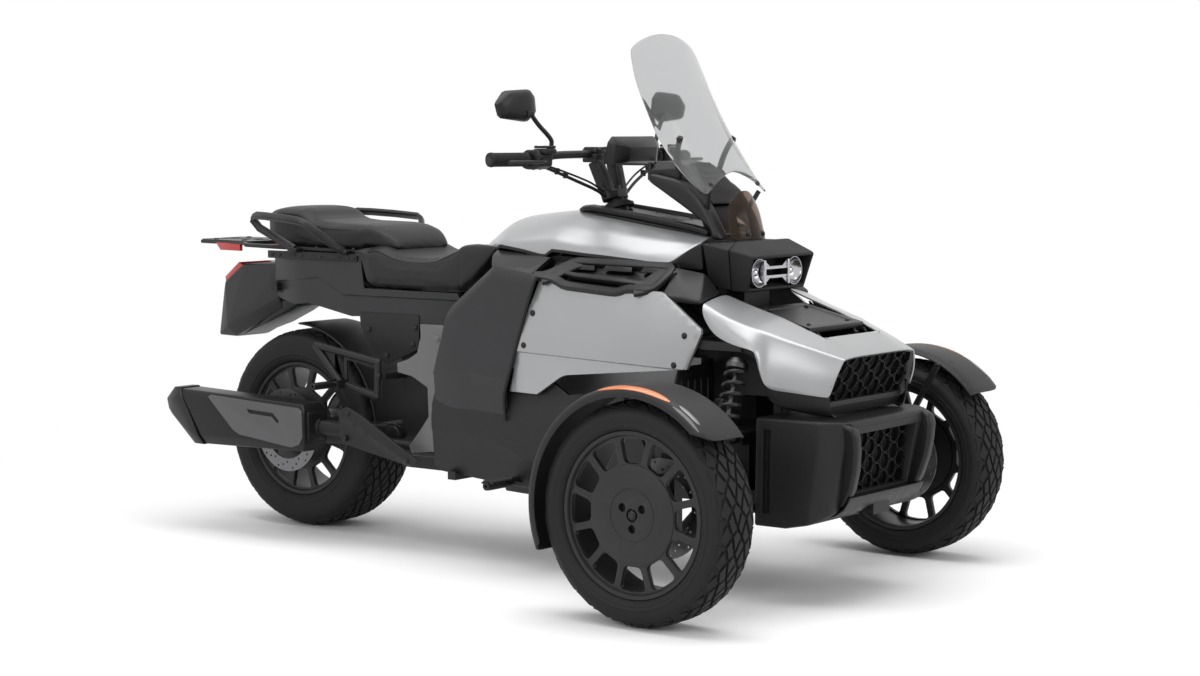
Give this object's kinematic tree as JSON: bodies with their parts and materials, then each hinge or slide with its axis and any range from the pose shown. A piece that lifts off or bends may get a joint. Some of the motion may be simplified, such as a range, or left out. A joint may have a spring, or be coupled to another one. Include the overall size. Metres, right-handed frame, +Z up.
{
  "type": "reverse trike",
  "caption": "Three-wheeled motorcycle with steered front wheels, a driven rear wheel, windshield, long seat, front storage and a luggage rack.",
  "frame": {"origin": "on the ground under the middle of the overall length, on the centre plane", "axes": "+X points forward, +Y to the rider's left, +Z up"},
  "size_m": [2.47, 1.461, 1.4719],
  "materials": {
    "black_plastic": "textured black plastic",
    "frame_black": "black powder coat",
    "rubber": "tread rubber",
    "metal": "cast aluminium",
    "lamp_white": "lamp lens and reflector",
    "dark_steel": "silencer shell",
    "silver_paint": "satin silver paint",
    "seat_vinyl": "dark grey seat cover",
    "rim_black": "satin black paint",
    "charcoal_paint": "satin charcoal panel",
    "lamp_red": "red lens",
    "smoked_shield": "smoked screen",
    "clear_shield": "lightly tinted clear shield"
  },
  "bodies": {
    "chassis": {"bumper": "black_plastic", "cockpit_cowl": "black_plastic", "cover_brackets": "frame_black", "drive_belt": "rubber", "engine_block": "metal", "frame": "frame_black", "frame_rails": "frame_black", "front_grilles": "black_plastic", "front_shocks": "frame_black", "front_wishbones": "frame_black", "grab_handles": "frame_black", "headlamp_housing": "black_plastic", "headlamps": "lamp_white", "instrument_display": "black_plastic", "lower_covers": "black_plastic", "muffler": "dark_steel", "nose_cowl": "silver_paint", "passenger_peg_brackets": "frame_black", "rear_hugger": "black_plastic", "rear_rack": "frame_black", "rider_footrests": "metal", "side_covers": "charcoal_paint", "side_panels": "silver_paint", "storage_tub": "black_plastic", "swingarm": "frame_black", "tail_cover": "charcoal_paint", "tail_fin": "charcoal_paint", "tail_lamps": "lamp_red", "tank_cover": "silver_paint", "tank_trim": "black_plastic", "upper_cowl": "black_plastic", "wind_deflector": "smoked_shield", "windshield": "clear_shield"},
    "steering": {"handlebar": "frame_black", "hand_controls": "black_plastic", "mirrors": "black_plastic"},
    "knuckle_right_body": {"knuckle_right": "metal", "fender_right": "black_plastic"},
    "knuckle_left_body": {"knuckle_left": "metal", "fender_left": "black_plastic"},
    "wheel_front_right": {"tyre_front_right": "rubber", "rim_front_right": "rim_black"},
    "wheel_front_left": {"tyre_front_left": "rubber", "rim_front_left": "rim_black"},
    "wheel_rear": {"tyre_rear": "rubber", "rim_rear": "rim_black"},
    "link_right": {"tie_rod_right": "metal"},
    "link_left": {"tie_rod_left": "metal"},
    "lid": {"storage_lid": "black_plastic"},
    "seat": {"rider_seat": "seat_vinyl", "pillion_seat": "seat_vinyl"},
    "peg_right": {"passenger_peg_right": "metal"},
    "peg_left": {"passenger_peg_left": "metal"}
  },
  "joints": [
    {"name": "steering_turn", "type": "hinge", "parent": "chassis", "child": "steering", "pos_m": [0.335, 0, 1.004], "axis": [-0.342, 0, 0.9397], "range_deg": [-30, 30]},
    {"name": "knuckle_right_turn", "type": "hinge", "parent": "chassis", "child": "knuckle_right_body", "pos_m": [0.905, -0.545, 0.281], "axis": [0, 0, 1], "range_deg": [-24, 24]},
    {"name": "knuckle_left_turn", "type": "hinge", "parent": "chassis", "child": "knuckle_left_body", "pos_m": [0.905, 0.545, 0.281], "axis": [0, 0, 1], "range_deg": [-24, 24]},
    {"name": "tie_rod_right_swing", "type": "hinge", "parent": "knuckle_right_body", "child": "link_right", "pos_m": [0.81, -0.545, 0.305], "axis": [0, 0, 1], "range_deg": [-24, 24]},
    {"name": "tie_rod_left_swing", "type": "hinge", "parent": "knuckle_left_body", "child": "link_left", "pos_m": [0.81, 0.545, 0.305], "axis": [0, 0, 1], "range_deg": [-24, 24]},
    {"name": "wheel_front_right_spin", "type": "hinge", "parent": "knuckle_right_body", "child": "wheel_front_right", "pos_m": [0.905, -0.636, 0.281], "axis": [0, 1, 0], "continuous": true},
    {"name": "wheel_front_left_spin", "type": "hinge", "parent": "knuckle_left_body", "child": "wheel_front_left", "pos_m": [0.905, 0.636, 0.281], "axis": [0, 1, 0], "continuous": true},
    {"name": "wheel_rear_spin", "type": "hinge", "parent": "chassis", "child": "wheel_rear", "pos_m": [-0.804, 0, 0.303], "axis": [0, 1, 0], "continuous": true},
    {"name": "storage_lid_open", "type": "hinge", "parent": "chassis", "child": "lid", "pos_m": [1.047, 0, 0.68], "axis": [0, 1, 0], "range_deg": [0, 65]},
    {"name": "seat_lift", "type": "hinge", "parent": "chassis", "child": "seat", "pos_m": [0.032, 0, 0.89], "axis": [0, 1, 0], "range_deg": [0, 50]},
    {"name": "passenger_peg_right_fold", "type": "hinge", "parent": "chassis", "child": "peg_right", "pos_m": [-0.514, -0.246, 0.47], "axis": [-1, 0, 0], "range_deg": [0, 80]},
    {"name": "passenger_peg_left_fold", "type": "hinge", "parent": "chassis", "child": "peg_left", "pos_m": [-0.514, 0.246, 0.47], "axis": [1, 0, 0], "range_deg": [0, 80]}
  ],
  "couplings": [
    {"joint": "knuckle_right_turn", "follows": "steering_turn", "ratio": 0.8},
    {"joint": "knuckle_left_turn", "follows": "steering_turn", "ratio": 0.8},
    {"joint": "tie_rod_right_swing", "follows": "steering_turn", "ratio": -0.8},
    {"joint": "tie_rod_left_swing", "follows": "steering_turn", "ratio": -0.8}
  ]
}
